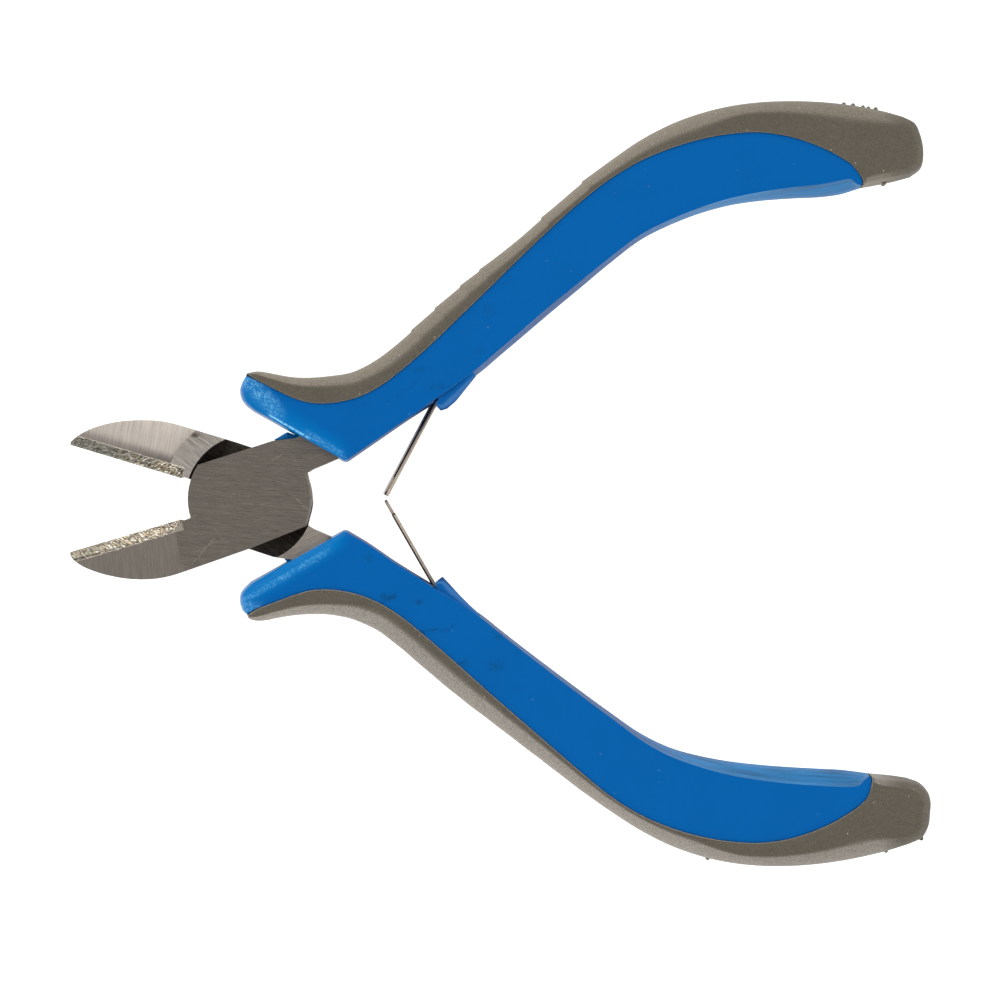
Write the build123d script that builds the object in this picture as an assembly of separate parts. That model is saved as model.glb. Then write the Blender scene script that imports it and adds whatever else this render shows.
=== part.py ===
from build123d import *
import os
from math import cos, sin, radians, atan2, hypot, degrees

# Small flush cut pliers, 115 mm class: two lapped steel halves on a rivet,
# two leaf springs that push the handles apart, and two two-material handles.
# Origin: pivot axis, on the rear face of the joint. +X runs to the handle
# ends, +Z along the pivot to the front face, jaws open 33.2 degrees at rest.
os.makedirs("parts", exist_ok=True)

# ---------------------------------------------------------------- dimensions
JOINT_T = 7.5            # thickness of the lapped joint
MID = JOINT_T / 2        # lap plane and middle plane of the whole tool
LAP_GAP = 0.04           # running gap between the two laps
DISC_R = 7.64            # radius of each lap disc
RECESS_R = 7.92          # radius of the recess the other disc turns in
EDGE_DEG = 16.60         # each cutting edge from the centre line, at rest
TIP_R = 23.12            # pivot to jaw tip
EDGE_IN_R = 8.86         # pivot to the inner end of the cutting edge
BEVEL_W = 1.35           # width of the small bevel on the front side
BEVEL_D = 1.15           # depth of that bevel
RELIEF_W = 3.0           # width of the ground relief on the rear side
RIVET_R = 2.4            # rivet shank
RIVET_HEAD_R = 3.2       # countersunk heads, ground flush
RIVET_HEAD_H = 0.9
RIVET_FIT = 0.03         # running clearance round the rivet in the rear half
TANG_T = 5.0             # tang thickness inside the handle
SLEEVE_HALF = 5.25       # half thickness of the hard handle sleeve
GRIP_HALF = 5.45         # half thickness of the soft grip, slightly proud
CORE_HALF = 3.6          # half thickness of the sleeve tongue inside the grip
LEAF_T = 0.40            # spring leaf thickness
LEAF_W = 4.0             # spring leaf width
BEAD_R = 0.45            # rolled root bead of each leaf
SOCKET_R = 0.50          # socket the bead sits in
LOWER_SKEW = 3.634       # the lower tang and sleeve core sit slightly turned
LOWER_SHIFT = (1.393, 0.020)


def rot(p, deg):
    c, s = cos(radians(deg)), sin(radians(deg))
    return (c * p[0] - s * p[1], s * p[0] + c * p[1])


def polar(r, deg):
    return (r * cos(radians(deg)), r * sin(radians(deg)))


def mirror_y(p):
    return (p[0], -p[1])


def to_lower(p):
    # inner pieces: upper handle coordinates to lower handle coordinates
    q = rot((p[0] - LOWER_SHIFT[0], p[1] - LOWER_SHIFT[1]), -LOWER_SKEW)
    return (q[0], -q[1])


def same(p):
    return p


def v(p, z=0.0):
    return Vector(p[0], p[1], z)


def chain(parts, z=0.0):
    # closed wire from a list of point lists; two points give a straight edge
    edges = []
    for pts in parts:
        if len(pts) == 2:
            edges.append(Edge.make_line(v(pts[0], z), v(pts[1], z)))
        else:
            edges.append(Edge.make_spline([v(p, z) for p in pts]))
    return Wire(edges)


def prism(parts, z0, z1):
    face = Face(chain(parts, z0))
    d = (z1 - z0) if face.normal_at().Z > 0 else (z0 - z1)
    return Solid.extrude(face, face.normal_at() * d)


def poly(points, z0, z1):
    n = len(points)
    return prism([[points[i], points[(i + 1) % n]] for i in range(n)], z0, z1)


def cyl(r, z0, z1, at=(0, 0)):
    return Pos(at[0], at[1], (z0 + z1) / 2) * Cylinder(r, z1 - z0)


def cone(r0, r1, z0, z1):
    return Pos(0, 0, (z0 + z1) / 2) * Cone(r0, r1, z1 - z0)


def one(shape, name):
    solids = shape.solids()
    big = max(solids, key=lambda s: s.volume)
    lost = sum(s.volume for s in solids) - big.volume
    if lost > 0.02:
        print(name, "drops loose volume", round(lost, 3))
    return big


def save(shape, name):
    body = one(shape, name)
    body.label = name
    export_step(body, "parts/%s.step" % name)
    bb = body.bounding_box()
    print("%-20s vol %8.2f  x %.2f..%.2f y %.2f..%.2f z %.2f..%.2f" % (
        name, body.volume, bb.min.X, bb.max.X, bb.min.Y, bb.max.Y, bb.min.Z, bb.max.Z))


# -------------------------------------------------------------- steel halves
# spines of the two jaws, from the tip back to the joint
LOWER_SPINE = [(-22.10, -6.98), (-21.67, -7.58), (-21.30, -7.88), (-20.56, -8.35), (-19.58, -8.79),
               (-18.35, -9.21), (-17.12, -9.52), (-15.64, -9.79), (-14.16, -9.93), (-12.69, -9.94),
               (-11.21, -9.81), (-9.73, -9.50), (-8.51, -9.11), (-6.66, -8.46), (-4.82, -7.81),
               (-2.36, -6.93), (0.07, -6.08)]
UPPER_SPINE = [(-22.08, 7.00), (-21.60, 7.40), (-21.11, 7.76), (-20.38, 8.20), (-19.39, 8.66), (-18.41, 8.99),
               (-17.18, 9.31), (-15.70, 9.55), (-14.23, 9.66), (-12.75, 9.67), (-11.27, 9.59),
               (-10.04, 9.40), (-8.42, 8.96), (-5.78, 8.17), (-3.13, 7.38), (-0.02, 6.38)]


def half_outline(spine, flip):
    # whole outline of one half, written for the front half; flip mirrors it
    tip = polar(TIP_R, 180 + EDGE_DEG)
    edge_in = polar(EDGE_IN_R, 180 + EDGE_DEG)
    notch = [polar(8.72, 180 + EDGE_DEG + 1.7), polar(7.86, 180 + EDGE_DEG + 1.4)]
    arc0 = polar(DISC_R, 180 + EDGE_DEG + 0.9)
    arc = [polar(DISC_R, a) for a in (197.69, 185.0, 172.0, 159.0, 146.8)]
    back = [(-6.37, 4.33), (-0.02, 6.23), (2.78, 7.15), (5.61, 7.49), (7.62, 8.74), (10.6, 10.5)]
    tang = [(10.6, 10.5), (14.6, 8.0), (11.92, 5.47), (9.18, 4.28), (7.76, 3.68), (7.09, 3.26)]
    right = [(7.10, 3.12), (7.41, 1.91), (7.66, 0.68), (7.66, 0.00), (7.58, -0.60), (7.34, -1.78), (7.08, -2.75)]
    m = mirror_y if flip else same
    sp = spine if flip else [same(p) for p in spine]
    loop = [[m(tip), m(edge_in)], [m(edge_in), m(notch[0])], [m(notch[0]), m(notch[1])],
            [m(notch[1]), m(arc[0])], [m(p) for p in arc]]
    loop.append([m(arc[-1]), m(back[1])])
    for i in range(1, len(back) - 1):
        loop.append([m(back[i]), m(back[i + 1])])
    for i in range(len(tang) - 1):
        loop.append([m(tang[i]), m(tang[i + 1])])
    loop.append([m(tang[-1]), m(right[0])])
    loop.append([m(p) for p in right])
    loop.append([m(right[-1]), m((6.89, -3.34))])
    loop.append([m((6.89, -3.34)), sp[-1]])
    loop.append(list(reversed(sp)))
    loop.append([sp[0], m(tip)])
    return loop


# tang inside the handle, in upper handle coordinates
TANG_IN = [(6.6, 8.3), (13.2, 12.1), (19.5, 17.0), (31.0, 27.0), (42.6, 36.6),
           (45.0, 34.2), (33.4, 23.6), (23.4, 15.4), (17.2, 10.6), (12.2, 6.3), (9.6, 5.4)]


def blade_plane_cut(deg, side):
    # frame along one cutting edge: s runs out from the pivot, u into the jaw
    def at(s, u):
        d = polar(1.0, deg)
        n = (-d[1] * side, d[0] * side)
        return (d[0] * s + n[0] * u, d[1] * s + n[1] * u)
    return at


def along_edge(deg, side, profile, s0, s1):
    # prism of a profile given in (u, z), run along the edge from s0 to s1
    at = blade_plane_cut(deg, side)
    pts = [Vector(at(s0, u)[0], at(s0, u)[1], z) for u, z in profile]
    n = len(pts)
    face = Face(Wire([Edge.make_line(pts[i], pts[(i + 1) % n]) for i in range(n)]))
    d = polar(s1 - s0, deg)
    return Solid.extrude(face, Vector(d[0], d[1], 0))


def blade_cuts(deg, side):
    edge_z = JOINT_T - BEVEL_D
    k = BEVEL_D / BEVEL_W
    front = along_edge(deg, side, [(-1.0, edge_z - k), (BEVEL_W + 1.0, JOINT_T + k), (-1.0, JOINT_T + k)],
                       EDGE_IN_R - 0.05, TIP_R + 3)
    r = RELIEF_W / edge_z
    rear = along_edge(deg, side, [(-0.5 * r, edge_z + 0.5), ((edge_z + 1) * r, -1.0), (-2.0, -1.0), (-2.0, edge_z + 0.5)],
                      EDGE_IN_R - 0.05, TIP_R + 3)
    return front, rear


def rear_taper(y0, y1):
    # the jaws thin down towards the tip on the rear side
    pts = [(-8.6, -0.6), (-8.6, 0.0), (-23.5, 2.35), (-23.5, -0.6)]
    vs = [Vector(x, y0, z) for x, z in pts]
    n = len(vs)
    f = Face(Wire([Edge.make_line(vs[i], vs[(i + 1) % n]) for i in range(n)]))
    return Solid.extrude(f, Vector(0, y1 - y0, 0))


def build_half(flip):
    spine = UPPER_SPINE if flip else LOWER_SPINE
    loop = half_outline(spine, flip)
    z_lap = (0.0, MID - LAP_GAP / 2) if flip else (MID + LAP_GAP / 2, JOINT_T)
    lap = prism(loop, *z_lap)
    block = prism(loop, 0.0, JOINT_T) - cyl(RECESS_R, -1, JOINT_T + 1)
    f = to_lower if flip else same
    tang = poly([f(p) for p in TANG_IN], MID - TANG_T / 2, MID + TANG_T / 2)
    body = lap + block + tang
    deg = 180 - EDGE_DEG if flip else 180 + EDGE_DEG
    side = -1 if flip else 1
    fr, rr = blade_cuts(deg, side)
    body = body - fr - rr
    if flip:
        # ground face of the rear jaw, crowned towards the spine, beyond an arc
        crown = [(u, JOINT_T - 0.03 * u - 0.0165 * u * u) for u in (0.2, 1.3, 2.2, 3.1, 4.0, 4.9, 5.8, 6.7, 7.6, 8.5)]
        wedge = along_edge(deg, side, [(-3.0, JOINT_T)] + crown + [(8.5, JOINT_T + 2), (-3.0, JOINT_T + 2)],
                           4.0, TIP_R + 3) - cyl(10.75, -2, JOINT_T + 4)
        body = body - wedge - rear_taper(1.0, 14.0)
    else:
        # ground face of the front jaw dips slightly to the tip
        pts = [(-9.0, JOINT_T), (-9.0, JOINT_T + 1), (-24.0, JOINT_T + 1), (-24.0, JOINT_T - 0.45)]
        vs = [Vector(x, -14, z) for x, z in pts]
        n = len(vs)
        g = Face(Wire([Edge.make_line(vs[i], vs[(i + 1) % n]) for i in range(n)]))
        body = body - Solid.extrude(g, Vector(0, 14, 0)) - rear_taper(-14.0, -1.0)
    # rivet hole: tight in the front half, running in the rear half
    c = RIVET_FIT if flip else 0.0
    body = body - cyl(RIVET_R + c, -1, JOINT_T + 1)
    if flip:
        body = body - cone(RIVET_HEAD_R + c, RIVET_R + c, -0.001, RIVET_HEAD_H + c)
    else:
        body = body - cone(RIVET_R, RIVET_HEAD_R, JOINT_T - RIVET_HEAD_H, JOINT_T)
    return body


front_half = build_half(False)
rear_half = build_half(True)
rivet = (cyl(RIVET_R, 0, JOINT_T) + cone(RIVET_HEAD_R, RIVET_R, 0, RIVET_HEAD_H)
         + cone(RIVET_R, RIVET_HEAD_R, JOINT_T - RIVET_HEAD_H, JOINT_T))

# ------------------------------------------------------------------- handles
# outlines of the two mouldings on their middle plane at rest; the lower one is
# written turned over, with its y positive, and is mirrored when it is built
EAR = {
    False: [(-0.47, 15.40), (-1.07, 14.36), (-1.33, 13.50), (-1.27, 12.75), (-1.03, 12.10), (-0.45, 11.40), (0.40, 10.74)],
    True: [(-0.30, 14.35), (-0.83, 13.90), (-1.04, 13.53), (-1.28, 12.79), (-1.28, 12.05), (-1.15, 11.55), (-0.69, 10.94), (0.10, 10.16)],
}
CORNER = {
    False: [(11.20, 4.76), (11.62, 4.58), (12.10, 4.66), (12.56, 4.98)],
    True: [(11.10, 4.02), (11.60, 3.80), (12.05, 3.87), (12.58, 4.18)],
}
INNER = {
    False: [(12.56, 4.98), (15.03, 6.69), (17.00, 8.05), (19.10, 9.50), (22.70, 11.85), (25.60, 13.75), (28.33, 15.69),
            (30.80, 17.80), (33.26, 19.89), (36.95, 23.05), (40.65, 26.14), (44.34, 29.23), (48.04, 32.05),
            (51.74, 33.94), (55.44, 35.37), (59.14, 36.37), (62.84, 36.92), (66.54, 37.21), (70.24, 37.40),
            (72.71, 37.76), (75.10, 38.50)],
    True: [(12.58, 4.18), (14.32, 5.21), (16.05, 6.36), (17.78, 7.55), (22.10, 10.22), (25.40, 12.20), (28.41, 14.13),
           (30.88, 16.08), (33.35, 18.00), (37.06, 20.81), (40.77, 23.57), (44.48, 26.26), (48.19, 28.80),
           (51.89, 30.57), (55.60, 31.59), (59.30, 32.25), (63.01, 32.66), (66.71, 32.93), (70.41, 33.12),
           (72.88, 33.24), (76.30, 33.66)],
}
BLUE_END = {
    False: [(75.10, 38.50), (75.20, 39.30), (74.72, 40.28), (73.74, 41.44)],
    True: [(76.30, 33.66), (76.52, 34.60), (76.08, 36.40), (75.16, 37.42), (73.93, 38.33)],
}
BOUND = {
    False: [(73.74, 41.44), (71.89, 42.53), (69.43, 43.67), (66.36, 44.65), (62.67, 45.19), (58.98, 45.00),
            (55.30, 44.31), (51.62, 43.20), (47.94, 41.65), (44.26, 39.46), (40.58, 36.60), (36.90, 33.30),
            (33.22, 29.78), (29.55, 26.14), (25.87, 22.55), (22.19, 18.99), (18.52, 15.80), (16.06, 13.95),
            (13.61, 12.67), (11.15, 11.98), (9.31, 11.76), (7.47, 11.85), (5.62, 12.34), (3.78, 13.15),
            (2.30, 13.89), (0.83, 14.65), (-0.47, 15.40)],
    True: [(73.93, 38.33), (72.09, 39.44), (69.64, 40.57), (66.57, 41.58), (62.88, 42.11), (59.20, 41.95),
           (55.51, 41.34), (51.82, 40.27), (48.13, 38.69), (44.44, 36.41), (40.75, 33.43), (37.06, 30.25),
           (33.36, 27.06), (29.67, 23.87), (25.98, 20.59), (22.28, 17.36), (18.59, 14.37), (16.13, 12.85),
           (13.67, 11.81), (11.21, 11.25), (9.37, 11.11), (7.53, 11.24), (5.68, 11.74), (3.84, 12.42),
           (2.37, 12.98), (0.90, 13.60), (-0.30, 14.35)],
}
OUTER = {
    False: [(-0.47, 15.40), (0.90, 15.72), (2.60, 15.46), (4.89, 15.08), (6.90, 14.98), (9.50, 15.17),
            (12.29, 15.62), (14.14, 16.42), (15.99, 17.56), (18.45, 19.51), (22.14, 22.89), (25.84, 26.20),
            (29.53, 29.25), (33.23, 32.32), (36.92, 35.63), (40.62, 38.91), (44.31, 41.82), (48.01, 44.40),
            (51.71, 46.35), (55.41, 47.72), (59.11, 48.63), (62.81, 49.11), (66.51, 49.25), (70.21, 49.14),
            (73.91, 48.75), (77.62, 48.05), (80.30, 47.34)],
    True: [(-0.30, 14.35), (0.70, 14.98), (2.20, 14.94), (4.96, 14.42), (6.81, 14.24),
           (8.66, 14.21), (10.51, 14.36), (12.36, 14.76), (14.22, 15.45), (16.07, 16.45), (18.54, 18.34),
           (22.25, 21.51), (25.96, 24.55), (29.67, 27.37), (33.38, 30.20), (37.09, 33.02), (40.80, 35.85),
           (44.51, 38.45), (48.22, 40.80), (51.92, 42.66), (55.63, 43.95), (59.33, 44.76), (63.04, 45.13),
           (66.74, 45.14), (70.44, 44.84), (74.14, 44.26), (77.84, 43.41), (79.82, 42.85)],
}
TIP_END = {
    False: [(80.30, 47.34), (81.80, 46.55), (82.52, 45.10), (82.92, 43.00), (82.60, 41.00), (81.23, 39.85)],
    True: [(79.82, 42.85), (81.59, 42.26), (82.90, 41.58), (83.50, 40.70), (83.83, 39.73), (83.95, 38.50), (84.01, 37.10), (83.66, 35.95), (82.58, 34.80), (80.97, 34.18)],
}
UNDER = {
    False: [(81.23, 39.85), (78.60, 39.16), (75.10, 38.50)],
    True: [(80.97, 34.18), (79.05, 33.90), (77.60, 33.76), (76.30, 33.66)],
}


def normals(points):
    out = []
    n = len(points)
    for i, p in enumerate(points):
        a = points[max(i - 1, 0)]
        b = points[min(i + 1, n - 1)]
        l = hypot(b[0] - a[0], b[1] - a[1])
        out.append((-(b[1] - a[1]) / l, (b[0] - a[0]) / l))
    return out


def inset(points, depth):
    # moves a run of points to the left of its own direction
    ns = normals(points)
    return [(p[0] + n[0] * depth(p), p[1] + n[1] * depth(p)) for p, n in zip(points, ns)]


def draft(p):
    # the side wall leans more towards the end of the handle
    if p[0] < 52:
        return 0.26
    if p[0] > 66:
        return 1.05 if p[0] < 74.9 else 0.75
    return 0.26 + (p[0] - 52) / 14 * 0.79


def sleeve_sections(k):
    ear2 = [EAR[k][0]] + inset(EAR[k], lambda p: 0.30)[1:]
    inner2 = inset(INNER[k], draft)
    c0, c1 = CORNER[k][0], CORNER[k][1]
    corner2 = [(c0[0] + 0.05, c0[1] + 0.36), (c1[0] + 0.06, c1[1] + 0.38), inner2[0]]
    mid = [EAR[k], [EAR[k][-1], c0], CORNER[k], INNER[k], BLUE_END[k], BOUND[k]]
    end2 = [inner2[-1], (inner2[-1][0] + 0.10, inner2[-1][1] + 0.5), BOUND[k][0]]
    top = [ear2, [ear2[-1], corner2[0]], corner2, inner2, end2, BOUND[k]]
    return mid, top


# inner tongue of the hard sleeve, wrapped by the soft grip
CORE = [(2.2, 13.3), (5.0, 13.4), (8.2, 13.5), (11.6, 13.9), (14.9, 15.3), (18.3, 18.0), (21.8, 21.2),
        (25.4, 24.4), (29.1, 27.5), (32.8, 30.7), (36.4, 34.0), (40.2, 37.3), (44.0, 40.2),
        (47.8, 42.7), (51.6, 44.6), (55.4, 45.9), (59.4, 46.8), (63.2, 47.2), (66.8, 47.3),
        (70.4, 47.1), (74.0, 46.6), (77.4, 46.0), (79.4, 45.2), (80.3, 43.6), (79.9, 41.9),
        (78.6, 41.1), (76.4, 40.5), (72.0, 39.6)]
CORE_BACK = [(72.0, 39.6), (66.0, 39.0), (58.0, 38.2), (50.0, 35.4), (44.0, 31.2), (36.0, 24.8),
             (28.0, 17.8), (20.0, 12.4), (12.0, 7.9), (2.2, 12.6)]
LEDGE = {
    False: [(22.80, 11.60), (23.43, 10.95), (24.20, 11.20), (25.29, 12.14), (25.90, 12.90), (27.10, 14.42),
            (27.80, 15.30), (27.20, 16.00), (23.80, 13.70)],
    True: [(22.75, 10.30), (23.68, 9.52), (24.67, 10.57), (25.90, 11.93), (27.14, 13.16), (28.40, 14.30),
           (27.60, 15.20), (23.80, 12.60)],
}
LIP = {
    False: [(3.05, 7.60), (3.90, 8.90), (6.40, 7.90), (5.60, 7.00)],
    True: [(4.15, 6.95), (4.90, 7.90), (7.20, 6.60), (6.30, 6.05)],
}

# leaf springs: root bead in the sleeve, free end on the centre line
LEAF_TIP = {False: (16.64, 0.50), True: (16.64, -0.11)}
LEAF_MOUTH = {False: (22.54, 11.64), True: (22.41, -10.11)}
LEAF_SWING = 29.5        # turn of each leaf against its handle when closed


def leaf_axis(flip):
    t, m = LEAF_TIP[flip], LEAF_MOUTH[flip]
    l = hypot(m[0] - t[0], m[1] - t[1])
    d = ((m[0] - t[0]) / l, (m[1] - t[1]) / l)
    return (m[0] + d[0] * 0.45, m[1] + d[1] * 0.45), d, l + 0.45


def build_leaf(flip):
    a, d, length = leaf_axis(flip)
    n = (-d[1], d[0])

    def at(s, w):
        # s measured from the root axis towards the free end
        return (a[0] - d[0] * s + n[0] * w, a[1] - d[1] * s + n[1] * w)
    h = LEAF_T / 2
    strip = poly([at(0, -h), at(length, -h), at(length, h), at(0, h)], MID - LEAF_W / 2, MID + LEAF_W / 2)
    bead = cyl(BEAD_R, MID - LEAF_W / 2, MID + LEAF_W / 2, a)
    leaf = strip + bead

    def plate(s0, s1, z0, z1):
        return poly([at(s0, -2), at(s1, -2), at(s1, 2), at(s0, 2)], z0, z1)

    def across(s, z, r):
        # cylinder through the leaf, square to its face
        c = Cylinder(r, 3.0)
        ang = degrees(atan2(n[1], n[0]))
        return Pos(at(s, 0)[0], at(s, 0)[1], z) * Rot(0, 0, ang) * Rot(0, 90, 0) * c
    if not flip:
        # closed slot near the free end
        leaf = leaf - plate(length - 2.25, length - 1.15, MID - 0.85, MID + 0.85)
        leaf = leaf - across(length - 2.25, MID, 0.85) - across(length - 1.3, MID, 0.85)
    else:
        # narrow rounded tongue at the free end
        leaf = leaf - plate(length - 1.9, length + 1, MID + 0.75, MID + 4)
        leaf = leaf - plate(length - 1.9, length + 1, MID - 4, MID - 0.75)
        nose = plate(length - 0.75, length + 1, MID - 1, MID + 1) - across(length - 0.75, MID, 0.75)
        leaf = leaf - nose
    return leaf


def leaf_pocket(flip):
    # socket for the bead and the channel the leaf folds into
    a, d, length = leaf_axis(flip)
    zz = (MID - LEAF_W / 2 - 0.15, MID + LEAF_W / 2 + 0.15)
    back = -1 if not flip else 1

    def end(turn, r, w):
        dd = rot((-d[0], -d[1]), turn)
        nn = (-dd[1], dd[0])
        return (a[0] + dd[0] * r + nn[0] * w, a[1] + dd[1] * r + nn[1] * w)
    turn = (LEAF_SWING + 1.2) * back
    w = LEAF_T / 2 + 0.16
    pts = [end(turn, 0.0, w * back), end(turn, length + 0.6, w * back), end(turn * 0.5, length + 0.9, 0),
           end(0, length + 0.6, -w * back), end(0, 0.0, -w * back)]
    return poly(pts, *zz) + cyl(SOCKET_R, zz[0], zz[1], a)


def build_handle(flip, steel):
    f = to_lower if flip else same

    m = mirror_y if flip else same

    def tr(parts):
        return [[m(p) for p in part] for part in parts]
    mid, top = sleeve_sections(flip)
    wm = chain(tr(mid), MID)
    shell = None
    for sgn in (1, -1):
        wt = chain(tr(top), MID + sgn * SLEEVE_HALF)
        s = Solid.make_loft([wm, wt], True)
        shell = s if shell is None else shell + s
    core = poly([f(p) for p in CORE + CORE_BACK[1:]], MID - CORE_HALF, MID + CORE_HALF)
    ledge = poly([m(p) for p in LEDGE[flip]], MID - 3.1, MID + 3.1)
    lip = poly([m(p) for p in LIP[flip]], 0.7, 3.3)
    sleeve = shell + core + ledge + lip
    whole = prism(tr([OUTER[flip], TIP_END[flip], UNDER[flip], BLUE_END[flip], BOUND[flip]]), MID - GRIP_HALF, MID + GRIP_HALF)
    # soft rim on the outer edges; the short ends are left out if they resist
    def rim_of(parts):
        out = []
        for e in whole.edges():
            c = e.center()
            if abs(abs(c.Z - MID) - GRIP_HALF) > 0.01 or e.length < 4:
                continue
            p = e @ 0.5
            for part in parts:
                if min(hypot(p.X - m(q)[0], p.Y - m(q)[1]) for q in part[flip]) < 2.6 and \
                   min(hypot(p.X - m(q)[0], p.Y - m(q)[1]) for q in BOUND[flip][:-2]) > 1.4:
                    out.append(e)
                    break
        return out
    grip = whole
    for r, parts in ((0.8, (OUTER, TIP_END, UNDER)), (0.8, (OUTER, TIP_END)), (0.6, (OUTER, TIP_END)),
                     (0.8, (OUTER,)), (0.5, (OUTER,)), (0.8, (TIP_END, UNDER))):
        try:
            rim = rim_of(parts)
            g = whole.fillet(r, rim)
            if g.is_valid and g.volume > 0.8 * whole.volume:
                grip = g
                print("grip rim fillet", r, len(parts), len(rim))
                break
        except Exception as err:
            print("fillet", r, len(parts), "failed", str(err)[:40])
    grip = grip - sleeve
    sleeve = sleeve - steel - leaf_pocket(flip)
    return sleeve, grip


upper_sleeve, upper_grip = build_handle(False, front_half)
lower_sleeve, lower_grip = build_handle(True, rear_half)

save(front_half, "front_jaw_half")
save(rear_half, "rear_jaw_half")
save(rivet, "pivot_rivet")
save(build_leaf(False), "upper_leaf_spring")
save(build_leaf(True), "lower_leaf_spring")
save(upper_sleeve, "upper_handle_sleeve")
save(lower_sleeve, "lower_handle_sleeve")
save(upper_grip, "upper_handle_grip")
save(lower_grip, "lower_handle_grip")
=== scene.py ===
import bpy, math, random
import numpy as np
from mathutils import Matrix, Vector


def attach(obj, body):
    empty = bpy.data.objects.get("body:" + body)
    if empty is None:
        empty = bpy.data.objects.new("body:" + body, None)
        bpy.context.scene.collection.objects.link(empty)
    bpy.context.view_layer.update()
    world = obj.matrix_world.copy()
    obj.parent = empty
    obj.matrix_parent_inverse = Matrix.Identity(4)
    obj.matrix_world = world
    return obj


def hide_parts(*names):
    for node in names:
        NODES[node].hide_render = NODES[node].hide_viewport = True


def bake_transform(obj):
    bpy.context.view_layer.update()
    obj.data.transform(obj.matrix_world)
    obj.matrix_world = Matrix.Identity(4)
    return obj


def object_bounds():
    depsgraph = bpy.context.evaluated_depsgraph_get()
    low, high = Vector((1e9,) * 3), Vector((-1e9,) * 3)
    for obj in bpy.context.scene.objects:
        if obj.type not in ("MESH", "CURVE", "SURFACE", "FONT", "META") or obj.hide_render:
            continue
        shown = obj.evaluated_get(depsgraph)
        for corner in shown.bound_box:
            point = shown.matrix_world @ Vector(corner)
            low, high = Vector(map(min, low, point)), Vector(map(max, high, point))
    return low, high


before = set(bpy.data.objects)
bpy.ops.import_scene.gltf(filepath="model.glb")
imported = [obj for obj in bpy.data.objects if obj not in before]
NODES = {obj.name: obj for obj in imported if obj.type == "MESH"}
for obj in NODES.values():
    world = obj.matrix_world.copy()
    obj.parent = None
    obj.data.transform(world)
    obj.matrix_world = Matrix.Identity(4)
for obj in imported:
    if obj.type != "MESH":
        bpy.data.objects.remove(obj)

CAD_BOX = [list(map(float, p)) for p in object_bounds()]
MM = 0.001
MID = 3.75                     # middle plane of the tool, mm
rng = np.random.default_rng(11)

# ------------------------------------------------------------------ 2D helpers
def smooth_run(pts, step=0.16):
    """Centripetal curve through the points, resampled evenly."""
    P = np.array(pts, float)
    if len(P) == 2:
        n = max(2, int(np.linalg.norm(P[1] - P[0]) / step))
        return P[0] + (P[1] - P[0]) * np.linspace(0, 1, n + 1)[:, None]
    P = np.vstack([2 * P[0] - P[1], P, 2 * P[-1] - P[-2]])
    out = []
    for i in range(1, len(P) - 2):
        p0, p1, p2, p3 = P[i - 1], P[i], P[i + 1], P[i + 2]
        t0 = 0.0
        t1 = t0 + max(1e-6, np.linalg.norm(p1 - p0)) ** 0.5
        t2 = t1 + max(1e-6, np.linalg.norm(p2 - p1)) ** 0.5
        t3 = t2 + max(1e-6, np.linalg.norm(p3 - p2)) ** 0.5
        t = np.linspace(t1, t2, 24, endpoint=False)[:, None]
        a1 = (t1 - t) / (t1 - t0) * p0 + (t - t0) / (t1 - t0) * p1
        a2 = (t2 - t) / (t2 - t1) * p1 + (t - t1) / (t2 - t1) * p2
        a3 = (t3 - t) / (t3 - t2) * p2 + (t - t2) / (t3 - t2) * p3
        b1 = (t2 - t) / (t2 - t0) * a1 + (t - t0) / (t2 - t0) * a2
        b2 = (t3 - t) / (t3 - t1) * a2 + (t - t1) / (t3 - t1) * a3
        out.append((t2 - t) / (t2 - t1) * b1 + (t - t1) / (t2 - t1) * b2)
    Q = np.vstack(out + [P[-2][None]])
    d = np.r_[0, np.cumsum(np.linalg.norm(np.diff(Q, axis=0), axis=1))]
    n = max(2, int(d[-1] / step))
    s = np.linspace(0, d[-1], n + 1)
    return np.c_[np.interp(s, d, Q[:, 0]), np.interp(s, d, Q[:, 1])]


def closed(runs, step=0.16):
    """Joins runs end to end; returns points and the run each came from."""
    pts, tag = [], []
    for k, r in enumerate(runs):
        q = smooth_run(r, step)[:-1]
        pts.append(q)
        tag += [k] * len(q)
    return np.vstack(pts), np.array(tag)


def blur(a, sigma_pts):
    n = len(a)
    k = int(3 * sigma_pts)
    w = np.exp(-0.5 * (np.arange(-k, k + 1) / sigma_pts) ** 2)
    w /= w.sum()
    b = np.concatenate([a[-k:], a, a[:k]])
    if a.ndim == 1:
        return np.convolve(b, w, "valid")[:n]
    return np.c_[tuple(np.convolve(b[:, j], w, "valid")[:n] for j in range(a.shape[1]))]


def inward(P, sigma=5.0):
    """Unit normals that point into a closed outline, softened round corners."""
    t = np.roll(P, -1, 0) - np.roll(P, 1, 0)
    area = 0.5 * np.sum(P[:, 0] * np.roll(P[:, 1], -1) - np.roll(P[:, 0], -1) * P[:, 1])
    n = np.c_[-t[:, 1], t[:, 0]] * (1 if area > 0 else -1)
    n /= np.linalg.norm(n, axis=1)[:, None] + 1e-12
    n = blur(n, sigma)
    return n / (np.linalg.norm(n, axis=1)[:, None] + 1e-12)


def pillow(P, N, half, wall, width, drop, steps=8, crown=None):
    """Rings of a two-sided rounded prism.
    wall: inset where the side wall ends; width, drop: the rounding above it."""
    rings = [(np.zeros(len(P)), np.zeros(len(P)))]
    base = half - drop
    for f in (0.34, 0.7, 1.0):
        rings.append((wall * f ** 1.25, base * f))
    for i in range(1, steps + 1):
        a = math.pi / 2 * i / steps
        rings.append((wall + width * (1 - math.cos(a)), base + drop * math.sin(a)))
    out = []
    for ins, z in rings:
        xy = P + N * ins[:, None]
        out.append((xy, z))
    return out


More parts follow.
